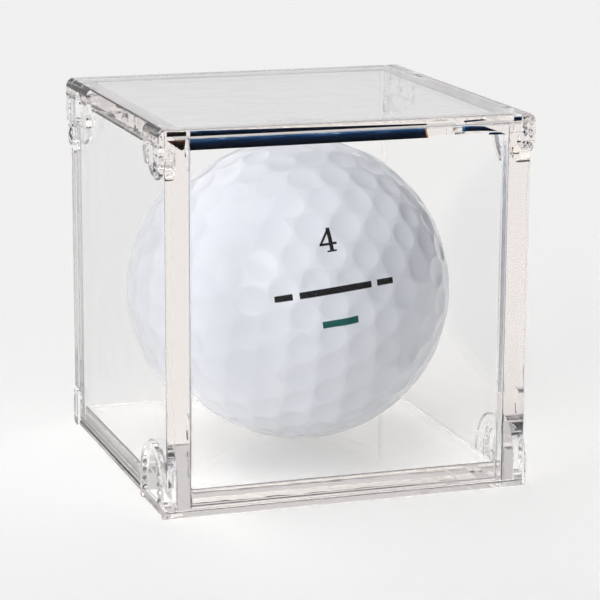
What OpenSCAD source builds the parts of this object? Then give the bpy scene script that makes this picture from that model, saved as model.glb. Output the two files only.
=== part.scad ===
// Golf ball display case: a clear two-inch cube of moulded panels with a hinged lid, and its ball.
// The origin is the middle of the case's underside. The front faces -Y, and the top +Z.

/* [Ball] */
// Diameter of the golf ball
ball_d = 42.67; // [42:0.01:43]
// Depth of a dimple
dimple_depth = 0.22; // [0.15:0.01:0.3]
// Width of the land between two dimples where they are closest
land_w = 0.3; // [0.2:0.05:0.5]
// How far the ball has rolled from the middle, to the right
ball_x = 0.6; // [-0.6:0.1:0.6]
// How far the ball has rolled from the middle, to the back
ball_y = -0.4; // [-0.6:0.1:0.6]

/* [Case] */
// Room on each side of a ball that stands in the middle
side_room = 0.865; // [0.7:0.005:1.5]
// Room above the ball
head_room = 3.18; // [2:0.01:5]
// Thickness of the four walls
wall_t = 3.2; // [2.8:0.1:3.4]
// Thickness of the floor, where the ball stands
floor_t = 3.2; // [2.4:0.1:4]
// Thickness of the lid
lid_t = 2.7; // [2.2:0.1:3.4]
// Thickness of the base's flange under the walls
flange_t = 0.9; // [0.6:0.1:1.4]
// Thickness of the lid where it is rebated over the front wall
lip_t = 1.1; // [0.8:0.1:1.5]
// Radius of the eased edges of every panel
edge_r = 0.2; // [0.1:0.05:0.4]

/* [Ears] */
// Thickness of an ear inside the wall's outer face
ear_t = 1.3; // [1:0.1:1.6]
// How far an ear's face stands proud of the wall
ear_proud = 0.25; // [0.1:0.05:0.4]
// How far the pads, rims and hinge pins stand proud of the wall
pad_proud = 0.7; // [0.5:0.05:0.9]
// Distance from the front or back face of the case to an ear's edge
ear_inset = 0.2; // [0.1:0.05:0.5]
// Width of the arched ears at the front of the base
arch_w = 11.5; // [9:0.1:13]
// Height of the arched ears at the front of the base
arch_h = 9; // [8:0.1:12]
// Width of the arched window in a base ear
window_w = 4.4; // [3.4:0.1:5]
// Width of the plain lugs at the back of the base
lug_w = 2.6; // [2.2:0.1:4]
// Height of the plain lugs at the back of the base
lug_h = 5.3; // [4:0.1:8]
// Width of the snap ears at the front of the lid
snap_w = 8; // [6:0.1:10]
// Height of the snap ears below the top of the lid
snap_h = 6.8; // [6:0.1:9]
// Width of the hinge ears at the back of the lid
hinge_w = 12; // [10:0.1:14]
// Height of the hinge ears below the top of the lid
hinge_h = 8.2; // [7.5:0.1:9]

/* [Hinge] */
// Distance from the back face of the case to the hinge line
hinge_in = 1.7; // [1.7:0.1:2.4]
// Distance from the top of the lid down to the hinge line
hinge_drop = 7.9; // [7.4:0.1:8.8]
// Diameter of the hinge pins
pin_d = 2; // [1.6:0.1:2.2]
// Radius of the knuckle round a hinge pin
knuckle_r = 1.7; // [1.6:0.05:1.7]
// How far the lid opens, in degrees
open_angle = 110; // [90:1:120]

/* [Fits] */
// Gap between the ball and the floor that it stands on
ball_gap = 0.05; // [0.05:0.01:0.15]
// Gap between two plates that rest on each other
seat_gap = 0.1; // [0.05:0.01:0.15]
// Cement line between two wall panels
cement_gap = 0.1; // [0.05:0.01:0.15]
// Play between the plates and the walls that they fit inside
plug_gap = 0.15; // [0.1:0.01:0.3]
// Gap round the edge of an ear in its pocket
ear_gap = 0.3; // [0.2:0.01:0.4]
// Gap behind an ear in its pocket
lap_gap = 0.2; // [0.15:0.01:0.3]
// Radial play of a hinge pin in its knuckle
pin_play = 0.1; // [0.05:0.01:0.1]
// Height of the friction bumps behind the ears
bump_h = 0.14; // [0.08:0.01:0.14]

/* [Hidden] */
$fn = 64;
clear_plastic = [0.86, 0.9, 0.92, 0.35];
past = 5; // how far a cutting shape runs past the face that it cuts

case_side = ball_d + 2 * (side_room + wall_t);
case_h = floor_t + ball_gap + ball_d + head_room + lid_t;
side = case_side / 2;
inside = side - wall_t;
wall_z0 = flange_t + seat_gap;
lid_z0 = case_h - lid_t;
wall_z1 = lid_z0 - seat_gap;
front_z1 = case_h - lip_t - seat_gap;

ear_x0 = side - ear_t;
ear_x1 = side + ear_proud;
pad_x = side + pad_proud;
pocket_x = ear_x0 - lap_gap;
arch_y = -side + ear_inset + arch_w / 2;
lug_y = side - ear_inset - lug_w / 2;
snap_y = -side + ear_inset + snap_w / 2;
snap_z = case_h - snap_h;
hinge_y0 = side - ear_inset - hinge_w;
hinge_z0 = case_h - hinge_h;
pivot_y = side - hinge_in;
pivot_z = case_h - hinge_drop;
pin_r = pin_d / 2;
ear_back = side - ear_inset - pivot_y; // from the hinge line to the back edge of the ear
swing_r = lid_z0 - pivot_z - plug_gap; // what the lid's underside clears behind the hinge line

rim_w = 0.9; // width of the raised rim round a base ear
bead_r = 0.45; // beads beside the window of a base ear
bead_pitch = 1.2;
bead_count = 5;
grip_r = 0.6; // grip dimples of the snap ears
grip_depth = 0.35;
grip_rows = 3;
grip_pitch = 1.55;
grip_apart = 3;
drop_r = 0.6; // teardrop window of a snap ear
pad_slope = 0.3; // height of the step under a pad
shoulder_r = 1.2; // rounded top of an ear
bump_r = 0.9;
grip_z = case_h - shoulder_r - grip_r / 3; // top row of grip dents
snap_pad_z = grip_z - (grip_rows - 1) * grip_pitch - grip_r - edge_r / 2; // foot of a snap ear's pad
hinge_pad_z = hinge_z0 + hinge_h / 4;

ball_r = ball_d / 2;
ball_z = floor_t + ball_gap + ball_r;
ball_turn = [-31.2, -32.02, 37.58]; // how the ball lies
dimple_steps = [1, 5]; // from one corner of the pattern's icosahedron to the next

// Plates

// A rectangle with rounded corners, from its lowest corner
module soft_rect(w, h, r) {
    translate([r, 0]) square([w - 2 * r, h]);
    translate([0, r]) square([w, h - 2 * r]);
    for (u = [r, w - r], v = [r, h - r]) translate([u, v]) circle(r = r, $fn = 24);
}

// A panel with all its edges eased, between two corners
module panel(low, high) {
    s = high - low;
    translate(low) intersection() {
        linear_extrude(s.z) soft_rect(s.x, s.y, edge_r);
        translate([0, s.y, 0]) rotate([90, 0, 0]) linear_extrude(s.y) soft_rect(s.x, s.z, edge_r);
        rotate([90, 0, 90]) linear_extrude(s.x) soft_rect(s.y, s.z, edge_r);
    }
}

// A shape drawn on the side wall, Y across and Z up, made solid from x0 to x1
module on_side(x0, x1) {
    translate([x0, 0, 0]) rotate([90, 0, 90]) linear_extrude(x1 - x0) children();
}

// Outlines of the ears, on the side wall. grow widens one into its pocket.

// Arched ear of the base: straight legs under a half-round top
module arch(w, h, grow = 0) {
    intersection() {
        translate([0, h - w / 2]) circle(r = w / 2 + grow);
        translate([-w, h - w / 2]) square([2 * w, w]);
    }
    translate([-w / 2 - grow, 0]) square([w + 2 * grow, h - w / 2]);
}

// Plain lug of the base
module lug(grow = 0) {
    translate([lug_y - lug_w / 2 - grow, -grow])
        soft_rect(lug_w + 2 * grow, lug_h + 2 * grow, lug_w / 4 + grow);
}

// Snap ear: straight sides over a half-round end
module snap_outline(grow = 0) {
    r = snap_w / 2;
    translate([snap_y, snap_z + r]) circle(r = r + grow);
    translate([snap_y - r - grow, snap_z + r]) square([snap_w + 2 * grow, snap_h - r]);
}

// Hinge ear: a broad tongue with its front corner rounded and the knuckle at its back corner
module hinge_outline(grow = 0) {
    r = min(hinge_w / 3, hinge_h / 2);
    back = side - ear_inset + grow;
    translate([hinge_y0 + r, hinge_z0 + r]) circle(r = r + grow);
    translate([hinge_y0 + r, hinge_z0 - grow]) square([pivot_y - hinge_y0 - r, r + grow]);
    translate([hinge_y0 - grow, hinge_z0 + r]) square([back - hinge_y0 + grow, hinge_h - r]);
    translate([pivot_y, pivot_z]) circle(r = knuckle_r + grow);
    translate([pivot_y - knuckle_r, pivot_z]) square([back - pivot_y + knuckle_r, hinge_drop]);
}

// A slot with round ends, standing up from y, z
module oblong(y, z, w, h) {
    translate([y - w / 2, z + w / 2]) square([w, h - w]);
    for (v = [z + w / 2, z + h - w / 2]) translate([y, v]) circle(r = w / 2, $fn = 32);
}

// Teardrop window, point up
module teardrop(y, z, r) {
    translate([y, z]) {
        circle(r = r, $fn = 32);
        rotate(45) square(r);
    }
}

// Base plate

// The arched ear at the front right corner, with its rim, window and beads
module arched_ear() {
    difference() {
        union() {
            on_side(ear_x0, ear_x1) translate([arch_y, 0]) arch(arch_w, arch_h);
            on_side(ear_x1 - edge_r, ear_x1 + ear_proud) translate([arch_y, 0]) difference() {
                arch(arch_w, arch_h);
                translate([0, -edge_r]) arch(arch_w - 2 * rim_w, arch_h - rim_w + edge_r);
            }
        }
        on_side(ear_x0 - past, side + past) translate([arch_y, flange_t + rim_w])
            arch(window_w, arch_h - flange_t - 3 * rim_w);
    }
    leg_y = (arch_w / 2 - rim_w + window_w / 2) / 2;
    for (s = [-1, 1], i = [0:bead_count - 1])
        translate([ear_x1, arch_y + s * leg_y, flange_t + rim_w + i * bead_pitch])
            sphere(r = bead_r, $fn = 16);
}

module base_plate() {
    color(clear_plastic) {
        panel([-side, -side, 0], [side, side, flange_t]);
        panel([-inside + plug_gap, -inside + plug_gap, flange_t - 2 * edge_r],
              [inside - plug_gap, inside - plug_gap, floor_t]);
        for (mx = [0, 1]) mirror([mx, 0, 0]) {
            arched_ear();
            on_side(ear_x0, ear_x1) lug();
        }
    }
}

// Walls

// The room that the lid's back edge needs as it swings over the walls
module swing_relief() {
    on_side(-side - past, side + past) translate([pivot_y, pivot_z]) difference() {
        square([hinge_in + past, case_h]);
        circle(r = swing_r, $fn = 128);
    }
}

// The pockets in a side wall: for the base's arched ear and lug, the snap ear and the hinge ear
module pockets() {
    on_side(pocket_x, side + past) {
        translate([arch_y, 0]) arch(arch_w, arch_h, ear_gap);
        translate([-side - past, 0]) square([past + arch_w / 2, arch_h - arch_w / 2]);
        lug(ear_gap);
        translate([lug_y, 0]) square([side + past - lug_y, lug_h + ear_gap]);
        snap_outline(ear_gap);
        translate([-side - past, snap_z + snap_w / 2]) square([past + snap_w / 2, snap_h]);
        hinge_outline(ear_gap);
        translate([pivot_y, pivot_z]) circle(r = ear_back / sin((180 - open_angle) / 2) + ear_gap);
        translate([pivot_y, pivot_z]) square([hinge_in + past, hinge_drop]);
    }
}

// A low round bump on the floor of a pocket
module bump(y, z) {
    translate([pocket_x - edge_r, y, z]) rotate([0, 90, 0]) {
        cylinder(r = bump_r, h = edge_r);
        translate([0, 0, edge_r]) cylinder(r1 = bump_r, r2 = bump_r - 2 * bump_h, h = bump_h);
    }
}

// The pin that carries the lid, with a domed end
module hinge_pin() {
    dome = pin_r / 3;
    dome_r = (pin_r * pin_r + dome * dome) / (2 * dome);
    translate([0, pivot_y, pivot_z]) rotate([0, 90, 0]) intersection() {
        translate([0, 0, pocket_x - edge_r]) cylinder(r = pin_r, h = pad_x - pocket_x + edge_r);
        translate([0, 0, pad_x - dome_r]) sphere(r = dome_r, $fn = 96);
    }
}

module side_wall() {
    difference() {
        union() {
            panel([inside, -side, wall_z0], [side, side, wall_z1]);
            panel([inside, -side, wall_z0], [side, -inside, front_z1]);
        }
        pockets();
        swing_relief();
    }
    hinge_pin();
    bump(snap_y, snap_z + 2 * drop_r);
    bump(arch_y, arch_h - arch_w / 2);
    bump(lug_y, lug_h / 2);
}

module right_wall() {
    color(clear_plastic) side_wall();
}

module left_wall() {
    color(clear_plastic) mirror([1, 0, 0]) side_wall();
}

module front_wall() {
    half = inside - cement_gap;
    color(clear_plastic) panel([-half, -side, wall_z0], [half, -inside, front_z1]);
}

module back_wall() {
    half = inside - cement_gap;
    color(clear_plastic) difference() {
        panel([-half, inside, wall_z0], [half, side, wall_z1]);
        swing_relief();
    }
}

// Lid

// Section through an ear of the lid from front to back: rounded shoulder, pad, step and thin end
module ear_section(pad_z) {
    low = hinge_z0 - past;
    r = shoulder_r;
    polygon([[ear_x0, low], [ear_x1, low], [ear_x1, pad_z - pad_slope], [pad_x, pad_z],
             [pad_x, case_h - r], [pad_x - r, case_h - r], [pad_x - r, case_h], [ear_x0, case_h]]);
    translate([pad_x - r, case_h - r]) intersection() {
        circle(r = r, $fn = 48);
        square(r);
    }
}

// An ear of the lid, from its outline and the height at which its pad ends
module lid_ear(pad_z) {
    intersection() {
        on_side(ear_x0, side + past) children();
        translate([0, side, 0]) rotate([90, 0, 0]) linear_extrude(case_side) ear_section(pad_z);
    }
}

// A column of grip dents in a pad, at y
module grips(y) {
    dent_r = (grip_r * grip_r + grip_depth * grip_depth) / (2 * grip_depth);
    for (i = [0:grip_rows - 1])
        translate([pad_x + dent_r - grip_depth, y, grip_z - i * grip_pitch])
            sphere(r = dent_r, $fn = 16);
}

// What is cut out of the front right ear: two columns of grip dents and a window
module snap_cuts() {
    for (s = [-1, 1]) grips(snap_y + s * grip_apart / 2);
    on_side(ear_x0 - past, side + past) teardrop(snap_y, snap_z + 1.5 * drop_r, drop_r);
}

// What is cut out of the back right ear: the pin hole, a relief slot and a column of grip dents
module hinge_cuts() {
    on_side(pocket_x, side + past) translate([pivot_y, pivot_z]) circle(r = pin_r + pin_play);
    on_side(side - ear_t / 2, side + past)
        oblong(hinge_y0 + hinge_w * 0.4, hinge_z0 + hinge_h / 3, hinge_w / 4, hinge_h * 0.54);
    grips(pivot_y - knuckle_r / 2);
}

module lid() {
    color(clear_plastic) difference() {
        union() {
            panel([-side, -side, lid_z0], [side, side, case_h]);
            for (mx = [0, 1]) mirror([mx, 0, 0]) {
                lid_ear(snap_pad_z) snap_outline();
                lid_ear(hinge_pad_z) hinge_outline();
                on_side(ear_x1 - edge_r, ear_x1 + ear_proud) translate([pivot_y, pivot_z])
                    circle(r = knuckle_r);
            }
        }
        translate([-ear_x0, -side - past, lid_z0 - past])
            cube([2 * ear_x0, wall_t + past + plug_gap, past + lid_t - lip_t]);
        for (mx = [0, 1]) mirror([mx, 0, 0]) {
            snap_cuts();
            hinge_cuts();
        }
    }
}

// Ball

// The dimples lie in a triangular pattern over the twenty faces of an icosahedron.
corners = [for (a = [1, -1], b = [1, -1] * (1 + sqrt(5)) / 2, p = [[0, a, b], [a, b, 0], [b, 0, a]]) p / norm(p)];
corner_angle = acos(1 / sqrt(5));

function next_to(a, b) = abs(corners[a] * corners[b] - cos(corner_angle)) < 0.001;
faces_20 = [for (a = [0:11], b = [0:11], c = [0:11])
    if (a < min(b, c) && b != c && next_to(a, b) && next_to(b, c) && next_to(a, c)
        && cross(corners[b] - corners[a], corners[c] - corners[a]) * corners[a] > 0) [a, b, c]];

// The direction that lies at three shares of a face's corners
function direction(shares, face) =
    let (p = [for (i = [0:2]) sin(shares[i] * corner_angle)] * [for (c = face) corners[c]]) p / norm(p);

// The shares of the dimples inside one face
inner_shares = let (h = dimple_steps[0], k = dimple_steps[1], all = h * h + h * k + k * k)
    [for (a = [-h - k:h + k], b = [0:2 * (h + k)])
        let (u = (a * (h + k) + b * k) / all, v = (b * h - a * k) / all)
        if (u > 0 && v > 0 && u + v < 1) [1 - u - v, u, v]];

middles = concat(corners, [for (face = faces_20, shares = inner_shares) direction(shares, face)]);
near_angle = 1.3 * corner_angle / norm([dimple_steps[0] + dimple_steps[1] / 2, dimple_steps[1] * sqrt(3) / 2]);

// Two directions square to a dimple's own
function frame_of(p) =
    let (u = cross(abs(p.z) < 0.9 ? [0, 0, 1] : [1, 0, 0], p), v = cross(p, u)) [u, v] / norm(u);

function sorted(list) = len(list) < 2 ? list : let (first = list[0]) concat(
    sorted([for (e = list) if (e[0] < first[0]) e]), [first], sorted([for (e = list) if (e[0] > first[0]) e]));

// The neighbours of each dimple, anticlockwise, each with its bearing and its number
around = [for (p = middles) let (f = frame_of(p))
    sorted([for (i = [0:len(middles) - 1]) let (q = middles[i])
        if (q != p && q * p > cos(near_angle)) [atan2(q * f[1], q * f[0]), i]])];

// Each dimple has the lowest point of its bowl, then two points of its rim for each neighbour.
function lowest(i) = i < 12 ? 11 * i : 132 + 13 * (i - 12);
function rim(i, k) = let (n = 2 * len(around[i])) lowest(i) + 1 + (k + n) % n;
function place_of(i, j) = search(i, [for (e = around[j]) e[1]])[0];

cover_points = [for (i = [0:len(middles) - 1])
    let (p = middles[i], f = frame_of(p), n = len(around[i]),
         nearest = min([for (e = around[i]) acos(middles[e[1]] * p)]),
         away = nearest / 2 - land_w / ball_d * 180 / PI)
    each concat([(ball_r - dimple_depth) * p], [for (k = [0:2 * n - 1])
        let (here = around[i][floor(k / 2)][0],
             next = around[i][ceil(k / 2) % n][0] + (ceil(k / 2) == n ? 360 : 0),
             bearing = (here + next) / 2)
        ball_r * (cos(away) * p + sin(away) * (cos(bearing) * f[0] + sin(bearing) * f[1]))])];

bowls = [for (i = [0:len(middles) - 1], k = [0:2 * len(around[i]) - 1]) [lowest(i), rim(i, k), rim(i, k + 1)]];

lands = [for (i = [0:len(middles) - 1], k = [0:len(around[i]) - 1])
    let (j = around[i][k][1], l = around[i][(k + 1) % len(around[i])][1],
         m = 2 * place_of(i, j), q = 2 * place_of(i, l))
    each concat(i > j ? [] : [
        [rim(i, 2 * k - 1), rim(j, m + 1), rim(j, m)],
        [rim(i, 2 * k - 1), rim(j, m), rim(i, 2 * k)],
        [rim(i, 2 * k), rim(j, m), rim(j, m - 1)],
        [rim(i, 2 * k), rim(j, m - 1), rim(i, 2 * k + 1)]],
        i > min(j, l) ? [] : [[rim(i, 2 * k + 1), rim(j, m - 1), rim(l, q + 1)]])];

module golf_ball() {
    color("white") translate([ball_x, ball_y, ball_z]) rotate(ball_turn)
        polyhedron(cover_points, [for (f = concat(bowls, lands)) [for (k = [len(f) - 1:-1:0]) f[k]]]);
}

base_plate();
left_wall();
right_wall();
front_wall();
back_wall();
lid();
golf_ball();
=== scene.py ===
"""A clear two-inch display case with a hinged lid, and the golf ball that it holds.

Metres, +Z up, the front towards -Y. The case stands on the table at z = 0.
"""

import math

import bpy
import numpy as np
from mathutils import Matrix, Vector


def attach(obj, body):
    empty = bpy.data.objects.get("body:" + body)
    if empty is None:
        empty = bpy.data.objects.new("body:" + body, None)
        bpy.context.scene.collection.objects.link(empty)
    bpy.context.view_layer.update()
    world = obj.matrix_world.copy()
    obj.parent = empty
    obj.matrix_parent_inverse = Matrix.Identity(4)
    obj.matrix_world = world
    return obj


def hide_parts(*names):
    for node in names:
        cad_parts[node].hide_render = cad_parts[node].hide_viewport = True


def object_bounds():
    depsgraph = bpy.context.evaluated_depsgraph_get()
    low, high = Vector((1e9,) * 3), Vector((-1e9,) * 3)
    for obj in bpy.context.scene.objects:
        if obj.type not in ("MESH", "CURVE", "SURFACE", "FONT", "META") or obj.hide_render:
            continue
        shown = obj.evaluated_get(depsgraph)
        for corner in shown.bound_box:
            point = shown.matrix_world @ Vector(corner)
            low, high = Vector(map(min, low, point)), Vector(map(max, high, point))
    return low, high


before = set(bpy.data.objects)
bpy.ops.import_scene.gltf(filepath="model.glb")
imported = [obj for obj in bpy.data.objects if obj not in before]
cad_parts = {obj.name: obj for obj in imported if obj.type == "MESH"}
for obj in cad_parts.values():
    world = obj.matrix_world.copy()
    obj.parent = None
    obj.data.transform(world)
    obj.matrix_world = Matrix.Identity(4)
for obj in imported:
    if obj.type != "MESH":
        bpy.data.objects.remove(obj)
cad_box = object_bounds()

# ------------------------------------------------------------------ camera
# A long lens 36 cm from the case, 19 degrees left of the front and 13 degrees above the level. The upright
# edges stay nearly parallel.

toward_camera = Vector((-0.311828, -0.923377, 0.223931)).normalized()
picture_right = Vector((0.948505, -0.318714, 0.004712))
picture_right = (picture_right - toward_camera * picture_right.dot(toward_camera)).normalized()
picture_up = toward_camera.cross(picture_right)

lens = bpy.data.cameras.new("camera")
lens.sensor_width = 36  # mm, as the focal length
lens.lens = 153.24
lens.clip_start = 0.01
lens.clip_end = 20
camera = bpy.data.objects.new("camera", lens)
camera.matrix_world = (Matrix.Translation((-0.11176, -0.33531, 0.10365))
                       @ Matrix((picture_right, picture_up, toward_camera)).transposed().to_4x4())
scene = bpy.context.scene
scene.collection.objects.link(camera)
scene.camera = camera


# ------------------------------------------------------------------ table and light
# The case stands on a seamless sheet of matt white paper, in a room that is pale on its window side and dark
# on the other. A window at the left, a soft box overhead, a small window behind and a weak reflector at the
# right light it, all so far away that the sheet is evenly bright.

def linear(code):
    """The linear colour of an sRGB hex code."""
    shares = [int(code[i:i + 2], 16) / 255 for i in (1, 3, 5)]
    return tuple(s / 12.92 if s <= 0.04045 else ((s + 0.055) / 1.055) ** 2.4 for s in shares) + (1.0,)


def add(tree, kind, values=None, links=None, **settings):
    """Adds a shader node: its settings, its sockets' own values, and the outputs that feed it."""
    made = tree.nodes.new("ShaderNode" + kind)
    for name, value in settings.items():
        setattr(made, name, value)
    for name, value in (values or {}).items():
        made.inputs[name].default_value = value
    for name, output in (links or {}).items():
        tree.links.new(output, made.inputs[name])
    return made


# The paper's fibres give it a fine, faint grain and no shine. The sheet is overexposed: seen straight or
# through the plastic, it is lighter than its lit white.
fibres_per_mm = 1.8  # coarser than real fibres, so that they show
overexposure = 0.355

paper = bpy.data.materials.new("matt_white_paper")
paper.use_nodes = True
tree = paper.node_tree
tree.nodes.clear()
place = add(tree, "TexCoord")
fibres = add(tree, "TexNoise", {"Scale": 1000 * fibres_per_mm, "Detail": 3.0, "Roughness": 0.6},
             {"Vector": place.outputs["Object"]})
grain = add(tree, "MapRange", {"From Min": 0.3, "From Max": 0.7}, {"Value": fibres.outputs[0]})
pulp = add(tree, "Mix", {6: linear("#f3f3f2"), 7: linear("#f7f7f7")}, {0: grain.outputs[0]},
           data_type="RGBA")
sheet = add(tree, "BsdfPrincipled", {"Roughness": 0.8, "Specular IOR Level": 0.1},
            {"Base Color": pulp.outputs[2]})
ray = add(tree, "LightPath")
seen = add(tree, "Math", links={0: ray.outputs["Is Camera Ray"], 1: ray.outputs["Is Transmission Ray"]},
           operation="MAXIMUM")
lift = add(tree, "Math", {1: overexposure}, {0: seen.outputs[0]}, operation="MULTIPLY")
backdrop = add(tree, "Emission", {"Color": linear("#fffdf9")}, {"Strength": lift.outputs[0]})
lifted_sheet = add(tree, "AddShader", links={0: sheet.outputs[0], 1: backdrop.outputs[0]})
add(tree, "OutputMaterial", links={"Surface": lifted_sheet.outputs[0]})

reach = 12.0
under = -0.00006  # the paper lies just below the base, so that the two faces don't share a plane
table_mesh = bpy.data.meshes.new("table")
table_mesh.from_pydata([(-reach, -reach, under), (reach, -reach, under), (reach, reach, under),
                        (-reach, reach, under)], [], [(0, 1, 2, 3)])
table_mesh.materials.append(paper)
table = bpy.data.objects.new("table", table_mesh)
scene.collection.objects.link(table)

# The room lights the inside of the case by rays that bend through the plastic, and each lamp by rays that go
# straight through it, so neither lights it twice.
room = bpy.data.worlds.new("studio_room")
room.use_nodes = True
room.cycles.sampling_method = "NONE"
tree = room.node_tree
tree.nodes.clear()
direction = add(tree, "TexCoord")
window_side = Vector((-0.86, -0.48, 0.15)).normalized()
behind = Vector((0.15, 0.97, 0.12)).normalized()  # the pale wall behind, which the lid's top mirrors
facing = add(tree, "VectorMath", {1: window_side}, {0: direction.outputs["Generated"]},
             operation="DOT_PRODUCT")
share = add(tree, "MapRange", {"From Min": -0.6, "From Max": 1.0}, {"Value": facing.outputs["Value"]},
            interpolation_type="SMOOTHSTEP")
walls = add(tree, "Mix", {6: linear("#20242c"), 7: linear("#c9cbd0")}, {0: share.outputs[0]},
            data_type="RGBA")
facing = add(tree, "VectorMath", {1: behind}, {0: direction.outputs["Generated"]},
             operation="DOT_PRODUCT")
share = add(tree, "MapRange", {"From Min": 0.70, "From Max": 0.88}, {"Value": facing.outputs["Value"]},
            interpolation_type="SMOOTHSTEP")
sweep = add(tree, "Mix", {7: linear("#d6d6d8")}, {0: share.outputs[0], 6: walls.outputs[2]},
            data_type="RGBA")
ambient = add(tree, "Background", {"Strength": 1.0}, {"Color": sweep.outputs[2]})
add(tree, "OutputWorld", links={"Surface": ambient.outputs[0]})
scene.world = room

# Each lamp: where it hangs, its width and height in metres, and the share of white that it alone would show
# on a white sheet square to it.
lamp_distance = 20.0
for name, toward, width, height, share, daylight in (
        ("left_window", (-0.71, -0.59, 0.30), 8.0, 6.5, 0.225, "#fffefc"),
        ("back_window", (-0.17, 0.83, 0.53), 3.4, 2.2, 0.06, "#fffefc"),
        ("overhead_softbox", (-0.12, 0.05, 0.99), 16.0, 16.0, 0.175, "#fffefc"),
        ("right_reflector", (0.75, 0.15, 0.60), 10.0, 10.0, 0.02, "#fffefc")):
    lamp = bpy.data.lights.new(name, "AREA")
    lamp.shape = "RECTANGLE"
    lamp.size, lamp.size_y = width, height
    lamp.energy = share * (math.pi * lamp_distance) ** 2
    lamp.color = linear(daylight)[:3]
    lamp.cycles.use_multiple_importance_sampling = False
    holder = bpy.data.objects.new(name, lamp)
    toward = Vector(toward).normalized()
    holder.matrix_world = (Matrix.Translation(toward * lamp_distance)
                           @ toward.to_track_quat("Z", "Y").to_matrix().to_4x4())
    scene.collection.objects.link(holder)

scene.view_settings.view_transform = "Standard"

# A ray through two walls and the ears crosses many faces of clear plastic.
scene.cycles.max_bounces = 28
scene.cycles.transmission_bounces = 24
scene.cycles.glossy_bounces = 20
scene.cycles.diffuse_bounces = 4
scene.cycles.transparent_max_bounces = 24


# ------------------------------------------------------------------ base, walls and lid
# The base, the four walls and the lid, injection-moulded in crystal polystyrene and polished by the mould.
# The walls are cemented to each other, the base clips on with its ears and the lid swings on two pins.

# Polystyrene bends light strongly and looks faintly warm through its thick edges. The flow of the melt
# leaves its faces very slightly wavy, which makes the mirrored lines in the edges waver.
styrene_ior = 1.59
flow_waves_per_mm = 0.19
wave_depth = 0.00002

styrene = bpy.data.materials.new("moulded_crystal_polystyrene")
styrene.use_nodes = True
tree = styrene.node_tree
tree.nodes.clear()
place = add(tree, "TexCoord")
flow = add(tree, "TexNoise", {"Scale": 1000 * flow_waves_per_mm, "Detail": 2.0},
           {"Vector": place.outputs["Object"]})
waviness = add(tree, "Bump", {"Strength": 0.35, "Distance": wave_depth}, {"Height": flow.outputs[0]})
bare = add(tree, "BsdfPrincipled", {
    "Base Color": linear("#ffffff"), "Transmission Weight": 1.0, "IOR": styrene_ior, "Roughness": 0.0,
}, {"Normal": waviness.outputs[0]})
# Seen square on, the panels mirror less of the pale table than bare plastic, as if the room in front were
# dark. Towards grazing, and inside the edges, they mirror all that bare plastic does.
unmirrored = add(tree, "BsdfRefraction", {"Color": linear("#ffffff"), "IOR": styrene_ior, "Roughness": 0.0},
                 {"Normal": waviness.outputs[0]})
mirrored = add(tree, "Fresnel", {"IOR": styrene_ior})
bare_share = add(tree, "MapRange", {"From Min": 0.05, "From Max": 0.40, "To Min": 0.25, "To Max": 1.0},
                 {"Value": mirrored.outputs[0]})
seen = add(tree, "MixShader", links={0: bare_share.outputs[0], 1: unmirrored.outputs[0], 2: bare.outputs[0]})
# The lamps shine straight through, a little weakened by each face.
open_to_lamps = add(tree, "BsdfTransparent", {"Color": linear("#f8f8f8")})
ray = add(tree, "LightPath")
clear = add(tree, "MixShader",
            links={0: ray.outputs["Is Shadow Ray"], 1: seen.outputs[0], 2: open_to_lamps.outputs[0]})
tint = add(tree, "VolumeAbsorption", {"Color": linear("#f4e8df"), "Density": 9.0})
add(tree, "OutputMaterial", links={"Surface": clear.outputs[0], "Volume": tint.outputs[0]})

for name in ("base_plate", "left_wall", "right_wall", "front_wall", "back_wall", "lid"):
    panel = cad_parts[name]
    panel.data.materials.clear()
    panel.data.materials.append(styrene)


# ------------------------------------------------------------------ painted reflection of the dark room in the edges
# The thick edges along the top of the front, and the grips of the ears, mirror a dark part of the room, blue
# where daylight reaches it. Nothing is fixed there: thin films inside the clear plastic carry a painted
# reflection of that view, with painted colour fringes where it ends, and move with the piece round them.

streaks_per_mm_along = 0.19
streaks_per_mm_up = 3.0


def painted_room_reflection(name, tones, streak):
    """A painted reflection of the room in the plastic: level streaks over tones that run from its foot to
    its top.
    """
    made = bpy.data.materials.new(name)
    made.use_nodes = True
    tree = made.node_tree
    tree.nodes.clear()
    place = add(tree, "TexCoord")
    height = add(tree, "SeparateXYZ", links={0: place.outputs["Generated"]})
    stretch = add(tree, "VectorMath", {1: (1000 * streaks_per_mm_along, 0, 1000 * streaks_per_mm_up)},
                  {0: place.outputs["Object"]}, operation="MULTIPLY")
    streaks = add(tree, "TexNoise", {"Scale": 1.0, "Detail": 5.0, "Roughness": 0.7},
                  {"Vector": stretch.outputs[0]})
    level = add(tree, "Math", {1: streak, 2: -streak / 2}, {0: streaks.outputs[0]}, operation="MULTIPLY_ADD")
    level = add(tree, "Math", links={0: level.outputs[0], 1: height.outputs["Z"]}, operation="ADD")
    ramp = add(tree, "ValToRGB", links={0: level.outputs[0]})
    ramp.color_ramp.elements.remove(ramp.color_ramp.elements[1])
    for at, code in tones:
        stop = ramp.color_ramp.elements.new(at) if at else ramp.color_ramp.elements[0]
        stop.position, stop.color = at, linear(code)
    image = add(tree, "BsdfPrincipled", {"Roughness": 0.5, "Specular IOR Level": 0.0},
                {"Base Color": ramp.outputs[0]})
    add(tree, "OutputMaterial", links={"Surface": image.outputs[0]})
    return made


# Painted reflection of the dark side of the room: near black at its foot, blue towards its top where
# daylight reaches it.
painted_dark_side_reflection = painted_room_reflection("painted_dark_side_reflection_in_polystyrene", (
    (0.0, "#020306"), (0.38, "#071226"), (0.62, "#122848"),
    (0.80, "#1f4472"), (0.93, "#5683b2"), (1.0, "#b9cbe0")), 0.9)
# Painted reflection of a dark brown corner of the room.
painted_corner_reflection = painted_room_reflection("painted_dark_corner_reflection_in_polystyrene", (
    (0.0, "#120d0b"), (0.55, "#1b1412"), (0.85, "#3d2a20"), (1.0, "#a07a5c")), 0.5)
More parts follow.
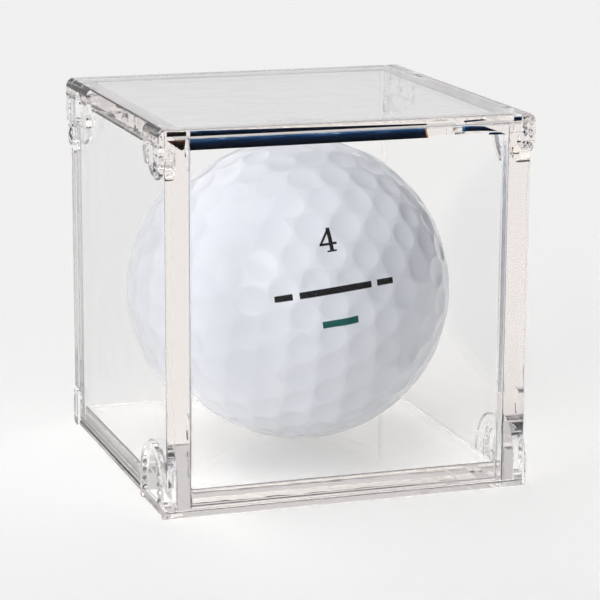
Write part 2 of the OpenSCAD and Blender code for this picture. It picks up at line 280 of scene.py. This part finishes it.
# painted colour fringes: where the view ends, the plastic splits its light into colours
painted_fringe_of_blue = painted_room_reflection("painted_fringe_of_blue_in_polystyrene", (
    (0.0, "#1b5590"), (0.6, "#2f7cc4"), (1.0, "#8fbbe6")), 0.3)
painted_fringe_of_orange = painted_room_reflection("painted_fringe_of_orange_in_polystyrene", (
    (0.0, "#c9651f"), (0.6, "#e59a52"), (1.0, "#f0c596")), 0.3)


def film(name, body, corners, view):
    """A film of painted reflection inside the plastic, from its corners in mm, that moves with the body
    round it.
    """
    mesh = bpy.data.meshes.new(name)
    mesh.from_pydata([(x / 1000, y / 1000, z / 1000) for x, y, z in corners], [],
                     [tuple(range(len(corners)))])
    mesh.materials.append(view)
    made = bpy.data.objects.new(name, mesh)
    scene.collection.objects.link(made)
    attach(made, body)


# Films of painted reflection upright behind the front faces of the walls and the lid. Each film's corners: X
# and Z in mm.
front_y = 1000 * cad_box[0][1]
depth_behind_face = {"case": 0.15, "lid": 0.1}
for name, body, view, corners in (
        ("painted_reflection_band_in_front_wall", "case", painted_dark_side_reflection,
         ((-22.0, 49.1), (10.4, 49.18), (10.2, 50.5), (-22.0, 50.56))),
        ("painted_reflection_band_in_lid", "lid", painted_dark_side_reflection,
         ((-22.0, 50.9), (10.4, 50.9), (10.4, 51.1), (-8, 51.4), (-22.0, 51.62))),
        ("painted_reflection_band_end", "case", painted_fringe_of_orange,
         ((10.4, 49.18), (10.72, 49.18), (10.45, 50.0), (10.5, 50.5), (10.2, 50.5))),
        ("painted_reflection_patch_in_front_wall", "case", painted_dark_side_reflection,
         ((15.9, 49.8), (18.4, 49.75), (20.6, 49.6), (18.6, 50.35), (15.9, 50.5))),
        ("painted_reflection_patch_end", "case", painted_fringe_of_blue,
         ((15.45, 49.85), (15.9, 49.8), (15.9, 50.5), (15.5, 50.45))),
        ("painted_reflection_patch_by_right_wall", "case", painted_dark_side_reflection,
         ((19.2, 49.2), (21.9, 49.12), (20.6, 49.5), (19.4, 49.5))),
        ("painted_reflection_patch_in_lid", "lid", painted_dark_side_reflection,
         ((15.7, 51.0), (19.0, 51.15), (18.4, 51.35), (15.7, 51.25))),
        ("painted_reflection_patch_over_right_wall", "lid", painted_dark_side_reflection,
         ((22.85, 50.88), (24.0, 50.88), (24.0, 51.45), (22.85, 51.45))),
        ("painted_reflection_corner_in_left_wall", "case", painted_corner_reflection,
         ((-25.1, 50.5), (-23.15, 49.15), (-22.75, 49.3), (-22.6, 50.5))),
        ("painted_reflection_corner_in_lid", "lid", painted_corner_reflection,
         ((-25.1, 51.0), (-22.5, 51.0), (-22.5, 51.55), (-25.1, 51.62)))):
    film(name, body, [(x, front_y + depth_behind_face[body], z) for x, z in corners], view)

# Spots of painted reflection in the grips of the lid's ears, by their middles in mm. Those of the left ears
# lie just under the outer faces and are long, because those faces are seen aslant. Those of the right ear
# lie behind its front.
left_face_x = -25.62
ear_front_y = -25.1  # just inside the front of the ears, where every spot ends
long_half, short_half, round_half = 0.42, 0.17, 0.16
clock = [math.radians(30 * i) for i in range(12)]
for name, y, z in (("painted_reflection_snap_spot_1", -24.1, 50.9), ("painted_reflection_snap_spot_2", -25.0, 50.6), ("painted_reflection_snap_spot_3", -23.5, 49.5),
                   ("painted_reflection_snap_spot_4", -25.0, 49.5), ("painted_reflection_snap_spot_5", -23.5, 48.35), ("painted_reflection_snap_spot_6", -25.0, 48.2),
                   ("painted_reflection_snap_spot_7", -24.9, 47.1), ("painted_reflection_hinge_spot_1", 17.7, 51.0), ("painted_reflection_hinge_spot_2", 17.2, 50.1),
                   ("painted_reflection_hinge_spot_3", 18.9, 49.0), ("painted_reflection_hinge_spot_4", 18.0, 47.9)):
    film(name, "lid", [(left_face_x, max(y + long_half * math.cos(turn), ear_front_y),
                        z + short_half * math.sin(turn)) for turn in clock], painted_dark_side_reflection)
for name, x, z in (("painted_reflection_right_spot_1", 24.4, 51.19), ("painted_reflection_right_spot_2", 24.45, 49.35),
                   ("painted_reflection_right_spot_3", 24.45, 47.9), ("painted_reflection_right_spot_4", 25.0, 47.75)):
    film(name, "lid", [(x + round_half * math.cos(turn), ear_front_y, z + round_half * math.sin(turn))
                       for turn in clock], painted_dark_side_reflection)


# ------------------------------------------------------------------ golf ball
# A white ball with an ionomer cover, moulded with 312 round dimples in a close triangular pattern, painted
# and clear-coated. It stands loose on the floor of the case.

ball_middle = np.array((0.0006, -0.0004, 0.024585))
ball_radius = 0.021335
dimple_depth = 0.00024
land_width = 0.0003  # the plain cover between the rims of two dimples

# The dimples are laid out on the twenty triangles between the twelve corners of an icosahedron.
golden = (1 + math.sqrt(5)) / 2
corners = np.array([p for a in (1, -1) for b in (golden, -golden)
                    for p in ((0, a, b), (a, b, 0), (b, 0, a))]) / math.sqrt(1 + golden ** 2)
apart = np.linalg.norm(corners[:, None] - corners[None], axis=2)
edge = np.min(apart[apart > 0.1])
triangles = [(i, j, k) for i in range(12) for j in range(12) for k in range(12)
             if i < min(j, k) and j != k
             and max(abs(apart[i, j] - edge), abs(apart[j, k] - edge), abs(apart[i, k] - edge)) < 1e-6
             and np.dot(np.cross(corners[j] - corners[i], corners[k] - corners[i]), corners[i]) > 0]
edge_angle = math.acos(corners[triangles[0][0]] @ corners[triangles[0][1]])


def even_out(shares, triangle):
    """Directions on the ball from shares of a triangle's three corners, spread evenly."""
    spread = np.sin(shares * edge_angle)
    points = spread @ corners[list(triangle)]
    return points / np.linalg.norm(points, axis=1)[:, None]


def dimple_directions():
    """The middles of the dimples: from one corner to the next is one step across and five along."""
    across, along = np.array((1.0, 0.0)), np.array((0.5, math.sqrt(3) / 2))
    first = across + 5 * along
    turn = np.array(((0.5, -math.sqrt(3) / 2), (math.sqrt(3) / 2, 0.5)))
    inverse = np.linalg.inv(np.array((first, turn @ first)).T)
    shares = np.array([(1 - u - v, u, v) for a in range(-8, 9) for b in range(-8, 9)
                       for u, v in [inverse @ (a * across + b * along)]
                       if min(u, v, 1 - u - v) > -1e-9])
    every = np.vstack([even_out(shares, t) for t in triangles])
    _, once = np.unique(np.round(every, 5) + 0.0, axis=0, return_index=True)
    return every[once]


# How the ball lies, read from its dimples. Each dimple is as wide as its nearest neighbour lets it be.
ball_turn = np.array(Matrix.Rotation(math.radians(37.58), 3, "Z")
                     @ Matrix.Rotation(math.radians(-32.02), 3, "Y")
                     @ Matrix.Rotation(math.radians(-31.2), 3, "X"))
dimples = dimple_directions() @ ball_turn.T
between = np.arccos(np.clip(dimples @ dimples.T, -1, 1)) + 2 * math.pi * np.eye(len(dimples))
rim_angle = between.min(axis=1) / 2 - land_width / 2 / ball_radius


def nearest_dimple(directions):
    """The dimple nearest to each direction, and the angle between the two."""
    parts = [part @ dimples.T for part in np.array_split(directions, 32)]  # in lots, to save memory
    return (np.concatenate([part.argmax(axis=1) for part in parts]),
            np.arccos(np.clip(np.concatenate([part.max(axis=1) for part in parts]), -1, 1)))


def cover_points(directions):
    """The points of the dimpled cover in each direction: a round bowl with a crisp rim in each dimple."""
    which, away = nearest_dimple(directions)
    share = away / rim_angle[which]
    bowl = np.clip(1 - share ** 2, 0, None)
    return directions * (ball_radius - dimple_depth * bowl)[:, None] + ball_middle


# A fine triangular net over the ball. The points near a rim are drawn onto it, which keeps it crisp.
steps = 110  # along each edge of a triangle
near_rim = 0.55 * edge_angle / steps
directions, faces, number = [], [], {}
for t in triangles:
    shares = np.array([(steps - i - j, i, j)
                       for i in range(steps + 1) for j in range(steps + 1 - i)]) / steps
    row, here = {}, iter(even_out(shares, t))
    for i in range(steps + 1):
        for j in range(steps + 1 - i):
            p = next(here)
            name = tuple(np.round(p, 6) + 0.0)
            if name not in number:
                number[name] = len(directions)
                directions.append(p)
            row[i, j] = number[name]
    for i in range(steps):
        for j in range(steps - i):
            faces.append((row[i, j], row[i + 1, j], row[i, j + 1]))
            if i + j < steps - 1:
                faces.append((row[i + 1, j], row[i + 1, j + 1], row[i, j + 1]))
directions = np.array(directions)
which, away = nearest_dimple(directions)
middles = dimples[which]
tangents = directions - middles * np.cos(away)[:, None]
tangents /= np.linalg.norm(tangents, axis=1)[:, None] + 1e-12
rims = rim_angle[which][:, None]
on_rim = np.abs(away - rim_angle[which]) < near_rim
directions[on_rim] = (middles * np.cos(rims) + tangents * np.sin(rims))[on_rim]

cover_mesh = bpy.data.meshes.new("dimpled_cover")
cover_mesh.from_pydata(cover_points(directions).tolist(), [], faces)

# The cover's true normals, from the slope of the bowls.
slopes = np.where(away < rim_angle[which], 2 * dimple_depth * away / rim_angle[which] ** 2, 0)
slopes[on_rim] = dimple_depth / rim_angle[which][on_rim]
upright = directions - tangents * (slopes / ball_radius)[:, None]
cover_mesh.shade_smooth()
cover_mesh.normals_split_custom_set_from_vertices(
    (upright / np.linalg.norm(upright, axis=1)[:, None]).tolist())

# White paint under a clear coat, both sprayed: the paint is a little uneven and faintly blue, and the coat
# mirrors the windows softly.
paint_clouds_per_mm = 0.16
peel_per_mm = 1.5
peel_depth = 0.00001

paint = bpy.data.materials.new("clear_coated_white_paint")
paint.use_nodes = True
tree = paint.node_tree
tree.nodes.clear()
place = add(tree, "TexCoord")
cloud = add(tree, "TexNoise", {"Scale": 1000 * paint_clouds_per_mm, "Detail": 3.0},
            {"Vector": place.outputs["Object"]})
tone = add(tree, "Mix", {6: linear("#e8edf7"), 7: linear("#eef2f9")}, {0: cloud.outputs[0]},
           data_type="RGBA")
peel = add(tree, "TexNoise", {"Scale": 1000 * peel_per_mm, "Detail": 2.0},
           {"Vector": place.outputs["Object"]})
flowed = add(tree, "Bump", {"Strength": 0.06, "Distance": peel_depth}, {"Height": peel.outputs[0]})
white = add(tree, "BsdfPrincipled", {
    "Roughness": 0.35, "IOR": 1.5, "Coat Weight": 1.0, "Coat Roughness": 0.04,
}, {"Base Color": tone.outputs[2], "Normal": flowed.outputs[0], "Coat Normal": flowed.outputs[0]})
add(tree, "OutputMaterial", links={"Surface": white.outputs[0]})
cover_mesh.materials.append(paint)

dimpled_cover = bpy.data.objects.new("dimpled_cover", cover_mesh)
scene.collection.objects.link(dimpled_cover)
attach(dimpled_cover, "ball")
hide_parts("golf_ball")


# ------------------------------------------------------------------ print on the ball
# The ball's number and a plain alignment mark, pad-printed on the cover in black and green ink.
# The ink follows the dimples and stands a hundredth of a millimetre proud.

ink_height = 0.00001
ink_cell_mm = 0.12  # the strokes are cut into cells of about this size, which bend with the cover
print_middle = Vector((-0.0714, -0.9777, 0.1977)).normalized()
level = print_middle.cross(Vector((0, 0, -1))).normalized()
tilt = Matrix.Rotation(math.radians(6.5), 3, print_middle)
print_right = np.array(tilt @ level)
print_up = np.array(tilt @ print_middle.cross(level))


def printed(name, strokes, ink):
    """Lays four-cornered strokes, in mm right of and above the middle of the print, on the cover."""
    spots, cells = [], []
    for a, b, c, d in strokes:
        a, b, c, d = map(np.array, (a, b, c, d))
        wide = int(max(np.linalg.norm(b - a), np.linalg.norm(c - d)) / ink_cell_mm) + 2
        tall = int(max(np.linalg.norm(d - a), np.linalg.norm(c - b)) / ink_cell_mm) + 2
        first = len(spots)
        for i in range(wide + 1):
            for j in range(tall + 1):
                u, v = i / wide, j / tall
                spots.append((a * (1 - u) + b * u) * (1 - v) + (d * (1 - u) + c * u) * v)
        for i in range(wide):
            for j in range(tall):
                k = first + i * (tall + 1) + j
                cells.append((k, k + tall + 1, k + tall + 2, k + 1))
    flat = np.array(spots) / 1000
    toward = np.array(print_middle) * ball_radius + flat[:, :1] * print_right + flat[:, 1:] * print_up
    toward /= np.linalg.norm(toward, axis=1)[:, None]
    mesh = bpy.data.meshes.new(name)
    mesh.from_pydata((cover_points(toward) + toward * ink_height).tolist(), [], cells)
    mesh.shade_smooth()
    mesh.materials.append(ink)
    mark = bpy.data.objects.new(name, mesh)
    scene.collection.objects.link(mark)
    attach(mark, "ball")


def bar(left, low, right, high):
    """The four corners of an upright rectangular stroke."""
    return (left, low), (right, low), (right, high), (left, high)


# Pad-printing ink is matt and dense, and a touch thinner in specks.
specks_per_mm = 2.6
inks = {}
for name, code in (("black_pad_ink", "#040405"), ("green_pad_ink", "#06544f")):
    inks[name] = bpy.data.materials.new(name)
    inks[name].use_nodes = True
    tree = inks[name].node_tree
    tree.nodes.clear()
    place = add(tree, "TexCoord")
    specks = add(tree, "TexNoise", {"Scale": 1000 * specks_per_mm, "Detail": 3.0},
                 {"Vector": place.outputs["Object"]})
    thin = tuple(1.5 * c for c in linear(code)[:3]) + (1.0,)
    shade = add(tree, "Mix", {6: linear(code), 7: thin}, {0: specks.outputs[0]}, data_type="RGBA")
    ink = add(tree, "BsdfPrincipled", {"Roughness": 0.45, "Specular IOR Level": 0.1},
              {"Base Color": shade.outputs[2]})
    add(tree, "OutputMaterial", links={"Surface": ink.outputs[0]})

# A plain figure with a foot: its stem, crossbar, slanting arm and foot, all in mm.
four = 7.2  # height of its middle above the middle of the print
printed("number_four", [
    bar(0.14, four - 1.7, 0.70, four + 1.87),
    bar(-1.25, four - 0.86, 1.25, four - 0.50),
    ((-1.25, four - 0.62), (-0.85, four - 0.62), (0.62, four + 1.62), (0.38, four + 1.87)),
    ((-0.28, four - 1.87), (1.08, four - 1.87), (1.08, four - 1.62), (-0.28, four - 1.62)),
], inks["black_pad_ink"])
printed("alignment_line", [
    bar(-9.0, -0.45, -6.2, 0.45), bar(-5.2, -0.45, 5.2, 0.45), bar(6.2, -0.45, 9.0, 0.45),
], inks["black_pad_ink"])
printed("alignment_dash", [bar(-2.6, -5.0, 2.6, -4.0)], inks["green_pad_ink"])
